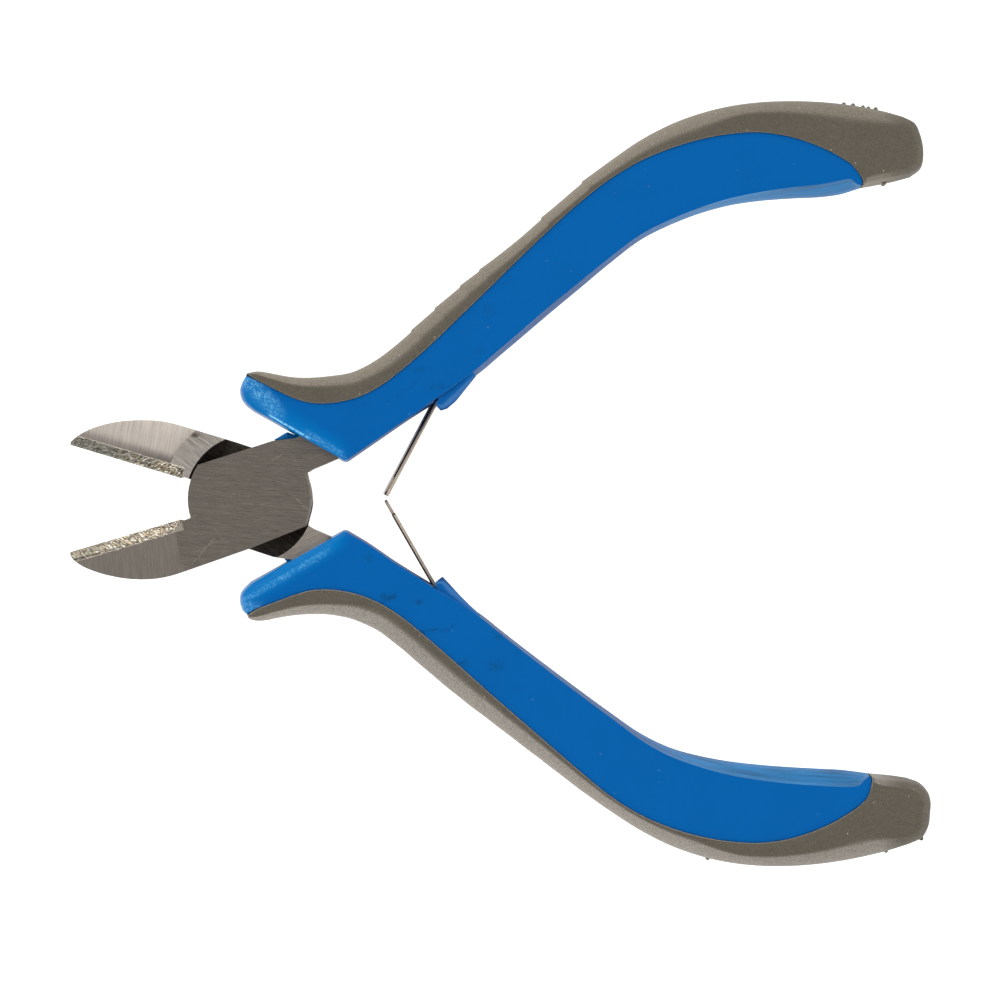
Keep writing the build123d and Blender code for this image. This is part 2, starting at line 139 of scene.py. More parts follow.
def cap_faces(P):
    """Triangles that fill a closed outline; only ones inside it."""
    from mathutils.geometry import delaunay_2d_cdt
    n = len(P)
    verts = [Vector((float(a), float(b))) for a, b in P]
    edges = [(i, (i + 1) % n) for i in range(n)]
    ov, oe, of, orig, _, _ = delaunay_2d_cdt(verts, edges, [list(range(n))], 1, 1e-7)
    new, ids = [], []
    for k, v in enumerate(ov):
        if orig[k]:
            ids.append(("o", orig[k][0]))
        else:
            ids.append(("n", len(new)))
            new.append((v.x, v.y))
    tris = []
    for f in of:
        a, b, c = (ov[i] for i in f[:3])
        if abs((b.x - a.x) * (c.y - a.y) - (b.y - a.y) * (c.x - a.x)) > 1e-9:
            tris.append([ids[i] for i in f])
    return tris, new


def build(name, rings, mid=MID, extra=None, smooth=True):
    """Mesh from rings, mirrored about the middle plane, with flat end caps."""
    n = len(rings[0][0])
    V, F = [], []
    top = []
    for k, (xy, z) in enumerate(rings):
        top.append(len(V))
        V += [(x * MM, y * MM, (mid + h) * MM) for (x, y), h in zip(xy, z)]
    bot = [top[0]]
    for k, (xy, z) in enumerate(rings[1:], 1):
        bot.append(len(V))
        V += [(x * MM, y * MM, (mid - h) * MM) for (x, y), h in zip(xy, z)]
    P = rings[0][0]
    area = 0.5 * np.sum(P[:, 0] * np.roll(P[:, 1], -1) - np.roll(P[:, 0], -1) * P[:, 1])
    ccw = area > 0
    for ids, up in ((top, True), (bot, False)):
        for k in range(len(ids) - 1):
            a, b = ids[k], ids[k + 1]
            for i in range(n):
                j = (i + 1) % n
                q = [a + i, a + j, b + j, b + i]
                F.append(q if (up == ccw) else q[::-1])
        last = rings[-1][0]
        zc = rings[-1][1]
        tris, new = cap_faces(last)
        o = len(V)
        V += [(a * MM, b * MM, (mid + (1 if up else -1) * float(zc.max())) * MM) for a, b in new]
        for t in tris:
            q = [(ids[-1] + i) if kind == "o" else (o + i) for kind, i in t]
            A, B, C = (V[i] for i in q[:3])
            pos = (B[0] - A[0]) * (C[1] - A[1]) - (B[1] - A[1]) * (C[0] - A[0]) > 0
            F.append(q if (up == pos) else q[::-1])
    if extra is not None:
        for ev, ef in extra:
            o = len(V)
            V += ev
            F += [[o + i for i in f] for f in ef]
    me = bpy.data.meshes.new(name)
    me.from_pydata(V, [], F)
    me.validate()
    me.update()
    ob = bpy.data.objects.new(name, me)
    bpy.context.scene.collection.objects.link(ob)
    if smooth:
        for p in me.polygons:
            p.use_smooth = True
    return ob


# ------------------------------------------------------------ handle outlines
# mm at rest on the middle plane; False is the upper handle, True the lower one,
# which is written turned over, with its y positive
def mirror(P):
    return np.array(P, float) * [1, -1]


EAR = {
    False: [(-0.47, 15.40), (-1.07, 14.36), (-1.33, 13.50), (-1.27, 12.75), (-1.03, 12.10), (-0.45, 11.40), (0.40, 10.74)],
    True: [(-0.30, 14.35), (-0.83, 13.90), (-1.04, 13.53), (-1.28, 12.79), (-1.28, 12.05), (-1.15, 11.55), (-0.69, 10.94), (0.10, 10.16)],
}
CORNER = {
    False: [(11.20, 4.76), (11.62, 4.58), (12.10, 4.66), (12.56, 4.98)],
    True: [(11.10, 4.02), (11.60, 3.80), (12.05, 3.87), (12.58, 4.18)],
}
INNER = {
    False: [(12.56, 4.98), (15.03, 6.69), (17.00, 8.05), (19.10, 9.50), (22.70, 11.85), (25.60, 13.75), (28.33, 15.69),
            (30.80, 17.80), (33.26, 19.89), (36.95, 23.05), (40.65, 26.14), (44.34, 29.23), (48.04, 32.05),
            (51.74, 33.94), (55.44, 35.37), (59.14, 36.37), (62.84, 36.92), (66.54, 37.21), (70.24, 37.40),
            (72.71, 37.76), (75.10, 38.50)],
    True: [(12.58, 4.18), (14.32, 5.21), (16.05, 6.36), (17.78, 7.55), (22.10, 10.22), (25.40, 12.20), (28.41, 14.13),
           (30.88, 16.08), (33.35, 18.00), (37.06, 20.81), (40.77, 23.57), (44.48, 26.26), (48.19, 28.80),
           (51.89, 30.57), (55.60, 31.59), (59.30, 32.25), (63.01, 32.66), (66.71, 32.93), (70.41, 33.12),
           (72.88, 33.24), (76.30, 33.66)],
}
BLUE_END = {
    False: [(75.10, 38.50), (75.20, 39.30), (74.72, 40.28), (73.74, 41.44)],
    True: [(76.30, 33.66), (76.52, 34.60), (76.08, 36.40), (75.16, 37.42), (73.93, 38.33)],
}
BOUND = {
    False: [(73.74, 41.44), (71.89, 42.53), (69.43, 43.67), (66.36, 44.65), (62.67, 45.19), (58.98, 45.00),
            (55.30, 44.31), (51.62, 43.20), (47.94, 41.65), (44.26, 39.46), (40.58, 36.60), (36.90, 33.30),
            (33.22, 29.78), (29.55, 26.14), (25.87, 22.55), (22.19, 18.99), (18.52, 15.80), (16.06, 13.95),
            (13.61, 12.67), (11.15, 11.98), (9.31, 11.76), (7.47, 11.85), (5.62, 12.34), (3.78, 13.15),
            (2.30, 13.89), (0.83, 14.65), (-0.47, 15.40)],
    True: [(73.93, 38.33), (72.09, 39.44), (69.64, 40.57), (66.57, 41.58), (62.88, 42.11), (59.20, 41.95),
           (55.51, 41.34), (51.82, 40.27), (48.13, 38.69), (44.44, 36.41), (40.75, 33.43), (37.06, 30.25),
           (33.36, 27.06), (29.67, 23.87), (25.98, 20.59), (22.28, 17.36), (18.59, 14.37), (16.13, 12.85),
           (13.67, 11.81), (11.21, 11.25), (9.37, 11.11), (7.53, 11.24), (5.68, 11.74), (3.84, 12.42),
           (2.37, 12.98), (0.90, 13.60), (-0.30, 14.35)],
}
OUTER = {
    False: [(-0.47, 15.40), (0.20, 15.66), (0.94, 15.74), (1.92, 15.62), (4.89, 15.08), (6.90, 14.98), (9.50, 15.17),
            (12.29, 15.62), (14.14, 16.42), (15.99, 17.56), (18.45, 19.51), (22.14, 22.89), (25.84, 26.20),
            (29.53, 29.25), (33.23, 32.32), (36.92, 35.63), (40.62, 38.91), (44.31, 41.82), (48.01, 44.40),
            (51.71, 46.35), (55.41, 47.72), (59.11, 48.63), (62.81, 49.11), (66.51, 49.25), (70.21, 49.14),
            (73.91, 48.75), (77.62, 48.05), (80.30, 47.34)],
    True: [(-0.30, 14.35), (-0.10, 14.74), (0.40, 14.98), (1.01, 15.06), (2.00, 14.98), (3.23, 14.72), (4.96, 14.42), (6.81, 14.24),
           (8.66, 14.21), (10.51, 14.36), (12.36, 14.76), (14.22, 15.45), (16.07, 16.45), (18.54, 18.34),
           (22.25, 21.51), (25.96, 24.55), (29.67, 27.37), (33.38, 30.20), (37.09, 33.02), (40.80, 35.85),
           (44.51, 38.45), (48.22, 40.80), (51.92, 42.66), (55.63, 43.95), (59.33, 44.76), (63.04, 45.13),
           (66.74, 45.14), (70.44, 44.84), (74.14, 44.26), (77.84, 43.41), (79.82, 42.85)],
}
TIP_END = {
    False: [(80.30, 47.34), (81.80, 46.55), (82.52, 45.10), (82.92, 43.00), (82.60, 41.00), (81.23, 39.85)],
    True: [(79.82, 42.85), (81.59, 42.26), (82.90, 41.58), (83.50, 40.70), (83.83, 39.73), (83.95, 38.50), (84.01, 37.10), (83.66, 35.95), (82.58, 34.80), (80.97, 34.18)],
}
UNDER = {
    False: [(81.23, 39.85), (78.60, 39.16), (75.10, 38.50)],
    True: [(80.97, 34.18), (79.05, 33.90), (77.60, 33.76), (76.30, 33.66)],
}
LEDGE = {
    False: [(22.80, 11.60), (23.43, 10.95), (24.20, 11.20), (25.29, 12.14), (25.90, 12.90), (27.10, 14.42),
            (27.80, 15.30), (27.20, 16.00), (23.80, 13.70)],
    True: [(22.75, 10.30), (23.68, 9.52), (24.67, 10.57), (25.90, 11.93), (27.14, 13.16), (28.40, 14.30),
           (27.60, 15.20), (23.80, 12.60)],
}
LIP = {
    False: [(2.85, 7.25), (4.55, 8.25), (6.40, 7.60), (5.60, 6.90)],
    True: [(3.98, 7.05), (4.95, 8.25), (7.20, 7.00), (6.30, 6.05)],
}


def ramp(x, xs, ys):
    return np.interp(x, xs, ys)


def room(P, N, most=3.2):
    """How far each outline point can move inward before it meets the other side."""
    Q = P[::4]
    best = np.full(len(P), 0.12)
    alive = np.ones(len(P), bool)
    for ins in np.arange(0.2, most, 0.12):
        c = P + N * ins
        d = np.empty(len(P))
        for a in range(0, len(P), 400):
            d[a:a + 400] = np.sqrt(((c[a:a + 400, None, :] - Q[None]) ** 2).sum(2).min(1))
        alive &= d > 0.90 * ins
        best[alive] = ins
    return best


def near(pts, Q, step=0.25):
    B = smooth_run(pts, step)
    return np.array([np.min(np.hypot(B[:, 0] - q[0], B[:, 1] - q[1])) for q in Q])


def roof(pts, inner, h0, slope, hmin):
    """Ledge with a sloped top that falls away from the handle's inner edge."""
    Q, _ = closed([[pts[i], pts[(i + 1) % len(pts)]] for i in range(len(pts))], 0.16)
    Q = blur(Q, 0.6)
    B = smooth_run(inner, 0.2)
    d, side = [], []
    for q in Q:
        k = int(np.argmin(np.hypot(B[:, 0] - q[0], B[:, 1] - q[1])))
        a, b = B[max(k - 1, 0)], B[min(k + 1, len(B) - 1)]
        t = (b - a) / np.linalg.norm(b - a)
        d.append((q - B[k]) @ np.array([t[1], -t[0]]))
    d = np.array(d)
    h = np.clip(h0 - slope * np.clip(d, 0.0, None), hmin, None)
    tris, new = cap_faces(Q)
    n = len(Q)
    ev = [(x, y, MID + c) for (x, y), c in zip(Q, h)] + [(x, y, MID - c) for (x, y), c in zip(Q, h)]
    ccw = 0.5 * np.sum(Q[:, 0] * np.roll(Q[:, 1], -1) - np.roll(Q[:, 0], -1) * Q[:, 1]) > 0
    ef = []
    for i in range(n):
        j = (i + 1) % n
        f = [n + i, n + j, j, i]
        ef.append(f if ccw else f[::-1])
    for t in tris:
        q = [i for kind, i in t if kind == "o"]
        if len(q) != len(t):
            continue
        A, B2, C2 = (ev[i] for i in q[:3])
        pos = (B2[0] - A[0]) * (C2[1] - A[1]) - (B2[1] - A[1]) * (C2[0] - A[0]) > 0
        ef.append(q if pos else q[::-1])
        ef.append([n + i for i in (q[::-1] if pos else q)])
    return ev, ef


def sleeve(name, lower):
    k_ = bool(lower)
    ear, inner, corner = EAR[k_], INNER[k_], CORNER[k_]
    P, tag = closed([ear, [ear[-1], corner[0]], corner, inner, BLUE_END[k_], BOUND[k_]], 0.14)
    N = inward(P, 6.0)
    n = len(P)
    x = P[:, 0]
    wall = np.zeros(n)
    width = np.zeros(n)
    drop = np.zeros(n)
    span = room(P, N)
    for i in range(n):
        k = tag[i]
        if k == 0:                              # ear
            wall[i], width[i], drop[i] = 0.22, min(2.3, 0.62 * span[i]), 1.9
        elif k == 1:                            # mouth edge
            wall[i], width[i], drop[i] = 0.22, ramp(x[i], [0.9, 4.0, 11.4], [1.9, 1.35, 1.2]), ramp(x[i], [0.9, 4.0, 11.4], [1.6, 0.95, 0.8])
        elif k == 2:
            wall[i], width[i], drop[i] = 0.22, 0.6, 0.45
        elif k == 3:                            # inner edge
            wall[i] = ramp(x[i], [12.5, 20, 28, 37, 46, 54, 60, 66, 73.5, 76],
                           [0.15, 0.20, 0.28, 0.36, 0.42, 1.05, 1.60, 1.90, 2.00, 1.50] if lower else
                           [0.18, 0.20, 0.54, 0.62, 0.46, 0.50, 0.74, 1.15, 1.62, 1.25])
            width[i] = ramp(x[i], [12.5, 16, 76], [0.14, 0.10, 0.09])
            drop[i] = ramp(x[i], [12.5, 16, 60, 75], [0.25, 0.10, 0.10, 0.08])
        elif k == 4:
            wall[i], width[i], drop[i] = 0.90, 0.05, 0.10
        else:                                   # under the soft grip
            wall[i], width[i], drop[i] = 0.0, 0.10, 0.14
    q = 8.0
    wall, width, drop = blur(wall, q), blur(width, q), blur(drop, q)
    wall = blur(np.where(tag >= 4, np.minimum(wall, 0.02), wall), 1.2)
    width = np.minimum(width, 0.75 * blur(span, 6.0))
    rings = pillow(P, N, 5.25, wall, width, drop, 11)
    extra = [roof(LEDGE[k_], inner, 5.2, 1.1, 2.2), roof(LIP[k_], [ear[-1], corner[0]], 2.4, 0.5, 1.2)]
    if lower:
        rings = [(mirror(xy), z) for xy, z in rings]
        extra = [([(v[0], -v[1], v[2]) for v in ev], [f[::-1] for f in ef]) for ev, ef in extra]
    extra = [([(a * MM, b * MM, c * MM) for a, b, c in ev], ef) for ev, ef in extra]
    return build(name, rings, extra=extra)


def dome(c, nrm, r, h, seg=12):
    """Small moulded nub: a low dome on a point, along a direction."""
    nrm = Vector(nrm).normalized()
    a = nrm.orthogonal().normalized()
    b = nrm.cross(a)
    V, F = [], []
    rows = 5
    for k in range(rows):
        t = math.pi / 2 * k / rows
        rr, hh = r * math.cos(t), h * math.sin(t)
        for i in range(seg):
            p = 2 * math.pi * i / seg
            V.append(tuple((Vector(c) + a * rr * math.cos(p) + b * rr * math.sin(p) + nrm * (hh - 0.06)) * MM))
    V.append(tuple((Vector(c) + nrm * (h - 0.06)) * MM))
    for k in range(rows - 1):
        for i in range(seg):
            j = (i + 1) % seg
            F.append([k * seg + i, k * seg + j, (k + 1) * seg + j, (k + 1) * seg + i])
    for i in range(seg):
        F.append([(rows - 1) * seg + i, (rows - 1) * seg + (i + 1) % seg, rows * seg])
    F.append(list(range(seg))[::-1])
    return V, F


# low raised pads along the outer edge: start of each step, mm along x
PAD_STEPS_UP = [19.9, 22.8, 25.9, 28.3, 35.9, 40.9]
def grip(name, lower):
    k_ = bool(lower)
    P, tag = closed([OUTER[k_], TIP_END[k_], UNDER[k_], BLUE_END[k_], BOUND[k_]], 0.14)
    N = inward(P, 5.0)
    n = len(P)
    x = P[:, 0]
    # the band's own width, to keep the rounding inside it
    band = near(BOUND[k_], P)
    span = room(P, N, 4.4)
    wall = np.zeros(n)
    width = np.zeros(n)
    drop = np.zeros(n)
    for i in range(n):
        k = tag[i]
        if k == 0:
            w = ramp(x[i], [-0.4, 2, 8, 14, 30, 44, 52, 62, 74, 80.6], [0.5, 1.1, 2.1, 2.0, 1.6, 1.8, 2.6, 3.3, 3.2, 1.8])
            if lower:
                w = ramp(x[i], [-0.4, 2, 8, 14, 30, 44, 52, 62, 74, 80.6], [0.6, 1.5, 2.8, 3.6, 4.6, 4.6, 3.8, 3.4, 3.2, 1.8])
            elif x[i] > 14:
                w *= ramp(x[i], [14, 24, 44, 54], [1.0, 2.3, 2.2, 1.0])
            far = ramp(x[i], [10, 15, 54, 60], [0.9 * span[i], 0.86 * band[i], 0.86 * band[i], 0.9 * span[i]])
            width[i] = min(w, (0.90 if lower else 0.84) * band[i] + 0.05, far)
            drop[i] = ramp(x[i], [-0.4, 2, 8, 30, 52, 74, 80.6], [0.5, 1.2, 1.7, 1.9, 2.3, 2.2, 1.5])
            wall[i] = min(0.12, 0.2 * band[i])
        elif k == 1:
            wall[i], width[i], drop[i] = 0.20, 1.3, 1.2
        elif k == 2:
            wall[i], width[i], drop[i] = 0.45, 1.1, 0.9
        elif k == 3:
            wall[i], width[i], drop[i] = 0.0, 0.05, 0.10
        else:
            wall[i], width[i], drop[i] = 0.0, 0.08, ramp(x[i], [-0.4, 3, 10], [0.04, 0.08, 0.24])
    wall, width, drop = blur(wall, 6), blur(width, 6), blur(drop, 6)
    wall = blur(np.where(tag == 4, 0.0, wall), 1.2)
    # shallow steps where the moulded pads begin, on the outer edge only
    if not lower:
        bump = np.zeros(n)
        for s in PAD_STEPS_UP:
            e = (x - s)
            bump += np.where(tag == 0, 0.17 * np.exp(-np.clip(e, 0, None) / 1.9) * (e >= -0.16) * np.clip((e + 0.16) / 0.16, 0, 1), 0)
        P = P - N * bump[:, None]
    else:
        bump = np.where(tag == 0, 0.012 * np.sin(x * 1.9) * (x > 6) * (x < 44), 0)
        P = P - N * bump[:, None]
    rings = pillow(P, N, 5.41, wall, width, drop, 10)
    extra = []
    def at(px, py):
        return np.array([px, py])
    Q = mirror(P) if lower else P
    NQ = inward(Q, 5.0)
    spots = [(56.37, -44.49), (78.53, -43.57), (82.9, -41.77)] if lower else \
            [(73.11, 48.98), (74.16, 48.73), (75.4, 48.49), (76.14, 48.37), (76.95, 48.18), (78.13, 38.99)]
    for s in spots:
        c = at(*s)
        i = int(np.argmin(np.hypot(Q[:, 0] - c[0], Q[:, 1] - c[1])))
        o = Q[i] + NQ[i] * 0.12
        extra.append(dome((o[0], o[1], MID + rng.uniform(1.2, 3.2)), (-NQ[i][0], -NQ[i][1], 0.25), 0.30, 0.40))
        extra.append(dome((o[0], o[1], MID - rng.uniform(1.2, 3.2)), (-NQ[i][0], -NQ[i][1], -0.25), 0.30, 0.40))
    if lower:
        rings = [(mirror(xy), z) for xy, z in rings]
    return build(name, rings, extra=extra)


# -------------------------------------------------------------- leaf springs
LEAF = {  # free tip, mouth of the pocket
    False: ((16.64, 0.50), (22.54, 11.64)),
    True: ((16.64, -0.11), (22.41, -10.11)),
}
def leaf(name, lower):
    tip, mouth = (np.array(p) for p in LEAF[lower])
    d = (mouth - tip) / np.linalg.norm(mouth - tip)
    root = mouth + d * 1.5
    L = np.linalg.norm(root - tip)
    n2 = np.array([-d[1], d[0]])
    T = 0.33 if lower else 0.29
    tw = -0.060 if lower else 0.140      # lean of the strip, front edge to the right
    # grid over the strip: s along, w across, with a slot or a tongue
    def halfw(s):
        if lower:
            e = L - s
            if e < 1.9:
                r = 0.75
                return r if e > r else max(0.02, math.sqrt(max(0, r * r - (r - e) ** 2)))
            return 2.0 if e > 2.15 else 0.75 + 1.25 * (e - 1.9) / 0.25
        e = L - s
        r = 0.55
        return 2.0 if e > r else 2.0 - r + math.sqrt(max(0, r * r - (r - e) ** 2))
    S = list(np.linspace(0, L - 3.2, 26)) + list(np.linspace(L - 3.1, L, 44))
    V, F = [], []
    def pos(s, w, side):
        h = side * T / 2
        c = root - d * s + n2 * (h - w * tw)
        return (c[0] * MM, c[1] * MM, (MID + w) * MM)
    if lower:
        fr = np.linspace(-1, 1, 13)
        for s in S:
            hw = halfw(s)
            for side in (-1, 1):
                for f in fr:
                    V.append(pos(s, f * hw, side))
        m = len(fr)
        for i in range(len(S) - 1):
            for side in (0, 1):
                for j in range(m - 1):
                    a = i * 2 * m + side * m + j
                    b = a + 2 * m
                    q = [a, a + 1, b + 1, b]
                    F.append(q if side else q[::-1])
            for j, fl in ((0, False), (m - 1, True)):
                a = i * 2 * m + j
                q = [a, a + m, a + 3 * m, a + 2 * m]
                F.append(q[::-1] if fl else q)
        for i, fl in ((0, False), (len(S) - 1, True)):
            for j in range(m - 1):
                a = i * 2 * m + j
                q = [a, a + 1, a + m + 1, a + m]
                F.append(q[::-1] if fl else q)
    else:
        # two rails and an end bar round the closed slot
        s0, s1, r = L - 2.55, L - 0.42, 0.85
        def slot(s):
            if s <= s0 or s >= s1:
                return 0.0
            e = min(s - s0, s1 - s)
            return r if e > 0.5 else r * math.sqrt(max(0, 1 - ((0.5 - e) / 0.5) ** 2))
        m = 7
        for s in S:
            hw = halfw(s)
            g = slot(s)
            for side in (-1, 1):
                for f in np.linspace(0, 1, m):
                    V.append(pos(s, g + f * (hw - g), side))
                for f in np.linspace(0, 1, m):
                    V.append(pos(s, -g - f * (hw - g), side))
        k = 2 * m
        for i in range(len(S) - 1):
            for half in (0, 1):
                for side in (0, 1):
                    for j in range(m - 1):
                        a = i * 2 * k + side * k + half * m + j
                        b = a + 2 * k
                        q = [a, a + 1, b + 1, b]
                        F.append(q if (side != half) else q[::-1])
                for j, fl in ((0, True), (m - 1, False)):
                    if j == 0 and slot(S[i]) == 0 and slot(S[i + 1]) == 0:
                        continue
                    a = i * 2 * k + half * m + j
                    q = [a, a + k, a + 3 * k, a + 2 * k]
                    F.append(q[::-1] if (fl == bool(half)) else q)
        for i, fl in ((0, False), (len(S) - 1, True)):
            for half in (0, 1):
                for j in range(m - 1):
                    a = i * 2 * k + half * m + j
                    q = [a, a + 1, a + k + 1, a + k]
                    F.append(q[::-1] if (fl != bool(half)) else q)
    me = bpy.data.meshes.new(name)
    me.from_pydata(V, [], F)
    me.validate()
    ob = bpy.data.objects.new(name, me)
    bpy.context.scene.collection.objects.link(ob)
    import bmesh
    bm = bmesh.new()
    bm.from_mesh(me)
    bmesh.ops.remove_doubles(bm, verts=bm.verts, dist=2e-6)
    bmesh.ops.recalc_face_normals(bm, faces=bm.faces)
    bm.to_mesh(me)
    bm.free()
    bv = ob.modifiers.new("edge", "BEVEL")
    bv.width = 0.00007
    bv.segments = 2
    bv.limit_method = "ANGLE"
    bv.angle_limit = math.radians(40)
    for p in me.polygons:
        p.use_smooth = False
    return ob


# ------------------------------------------------------------------ materials
class G:
    """Small node-graph helper."""
    def __init__(self, name):
        self.m = bpy.data.materials.new(name)
        self.m.use_nodes = True
        self.t = self.m.node_tree
        self.t.nodes.clear()
        self.out = self.t.nodes.new("ShaderNodeOutputMaterial")
        self.b = self.t.nodes.new("ShaderNodeBsdfPrincipled")
        self.t.links.new(self.b.outputs[0], self.out.inputs[0])
        tc = self.t.nodes.new("ShaderNodeTexCoord")
        self.mm = self.vmul(tc.outputs["Object"], 1000.0)
        s = self.t.nodes.new("ShaderNodeSeparateXYZ")
        self.t.links.new(self.mm, s.inputs[0])
        self.x, self.y, self.z = s.outputs
        g = self.t.nodes.new("ShaderNodeNewGeometry")
        s2 = self.t.nodes.new("ShaderNodeSeparateXYZ")
        self.t.links.new(g.outputs["Normal"], s2.inputs[0])
        self.nz = s2.outputs[2]
        self.point = g.outputs["Pointiness"]

    def put(self, sock, v):
        if isinstance(v, bpy.types.NodeSocket):
            self.t.links.new(v, sock)
        else:
            sock.default_value = v

    def math(self, op, a, b=0.0, c=0.0, clamp=False):
        n = self.t.nodes.new("ShaderNodeMath")
        n.operation = op
        n.use_clamp = clamp
        self.put(n.inputs[0], a)
        self.put(n.inputs[1], b)
        self.put(n.inputs[2], c)
        return n.outputs[0]

    def add(self, a, b): return self.math("ADD", a, b)
    def sub(self, a, b): return self.math("SUBTRACT", a, b)
    def mul(self, a, b): return self.math("MULTIPLY", a, b)
    def mx(self, a, b): return self.math("MAXIMUM", a, b)
    def mn(self, a, b): return self.math("MINIMUM", a, b)
    def inv(self, a): return self.math("SUBTRACT", 1.0, a)

    def vmul(self, v, k):
        n = self.t.nodes.new("ShaderNodeVectorMath")
        n.operation = "SCALE"
        self.put(n.inputs[0], v)
        n.inputs["Scale"].default_value = k
        return n.outputs[0]

    def step(self, v, lo, hi, a=0.0, b=1.0):
        n = self.t.nodes.new("ShaderNodeMapRange")
        n.interpolation_type = "SMOOTHSTEP"
        self.put(n.inputs[0], v)
        n.inputs[1].default_value = lo
        n.inputs[2].default_value = hi
        n.inputs[3].default_value = a
        n.inputs[4].default_value = b
        return n.outputs[0]

    def lin(self, v, lo, hi, a=0.0, b=1.0):
        n = self.t.nodes.new("ShaderNodeMapRange")
        self.put(n.inputs[0], v)
        n.inputs[1].default_value = lo
        n.inputs[2].default_value = hi
        n.inputs[3].default_value = a
        n.inputs[4].default_value = b
        return n.outputs[0]

    def mapped(self, rot_deg=0.0, scale=(1, 1, 1), loc=(0, 0, 0), about=(0, 0)):
        v = self.mm
        n = self.t.nodes.new("ShaderNodeMapping")
        n.vector_type = "POINT"
        n.inputs["Location"].default_value = loc
        n.inputs["Rotation"].default_value = (0, 0, math.radians(rot_deg))
        n.inputs["Scale"].default_value = (1, 1, 1)
        self.put(n.inputs[0], v)
        k = self.t.nodes.new("ShaderNodeMapping")
        k.inputs["Scale"].default_value = scale
        self.put(k.inputs[0], n.outputs[0])
        return k.outputs[0]

    def noise(self, vec, scale=1.0, detail=2.0, rough=0.5, dist=0.0, out=0):
        n = self.t.nodes.new("ShaderNodeTexNoise")
        n.inputs["Scale"].default_value = scale
        n.inputs["Detail"].default_value = detail
        n.inputs["Roughness"].default_value = rough
        n.inputs["Distortion"].default_value = dist
        self.put(n.inputs["Vector"], vec)
        return n.outputs[out]

    def voronoi(self, vec, scale=1.0, feature="F1", out="Distance", rand=1.0):
        n = self.t.nodes.new("ShaderNodeTexVoronoi")
        n.feature = feature
        n.inputs["Scale"].default_value = scale
        n.inputs["Randomness"].default_value = rand
        self.put(n.inputs["Vector"], vec)
        return n.outputs[out]

    def mix(self, f, a, b):
        n = self.t.nodes.new("ShaderNodeMix")
        n.data_type = "RGBA"
        self.put(n.inputs[0], f)
        for i, v in ((6, a), (7, b)):
            if isinstance(v, bpy.types.NodeSocket):
                self.t.links.new(v, n.inputs[i])
            else:
                n.inputs[i].default_value = (*v, 1.0)
        return n.outputs[2]

    def fmix(self, f, a, b):
        n = self.t.nodes.new("ShaderNodeMix")
        n.data_type = "FLOAT"
        self.put(n.inputs[0], f)
        self.put(n.inputs[2], a)
        self.put(n.inputs[3], b)
        return n.outputs[0]

    def scale_col(self, col, f):
        """Colour times a factor."""
        n = self.t.nodes.new("ShaderNodeVectorMath")
        n.operation = "SCALE"
        if isinstance(col, bpy.types.NodeSocket):
            self.t.links.new(col, n.inputs[0])
        else:
            n.inputs[0].default_value = col
        self.put(n.inputs["Scale"], f)
        return n.outputs[0]

    def bump(self, h, dist_mm, strength=1.0, normal=None):
        n = self.t.nodes.new("ShaderNodeBump")
        n.inputs["Strength"].default_value = strength
        n.inputs["Distance"].default_value = dist_mm * MM
        self.put(n.inputs["Height"], h)
        if normal is not None:
            self.t.links.new(normal, n.inputs["Normal"])
        return n.outputs[0]

    def set(self, **kw):
        for k, v in kw.items():
            k = {"color": "Base Color", "rough": "Roughness", "metal": "Metallic", "normal": "Normal",
                 "spec": "Specular IOR Level", "coat": "Coat Weight", "coat_rough": "Coat Roughness",
                 "sheen": "Sheen Weight", "aniso": "Anisotropic"}[k]
            if isinstance(v, tuple):
                v = (*v, 1.0)
            self.put(self.b.inputs[k], v)
        return self.m


def lin(r, g, b):
    f = lambda c: (c / 255 / 12.92) if c / 255 <= 0.04045 else ((c / 255 + 0.055) / 1.055) ** 2.4
    return (f(r), f(g), f(b))


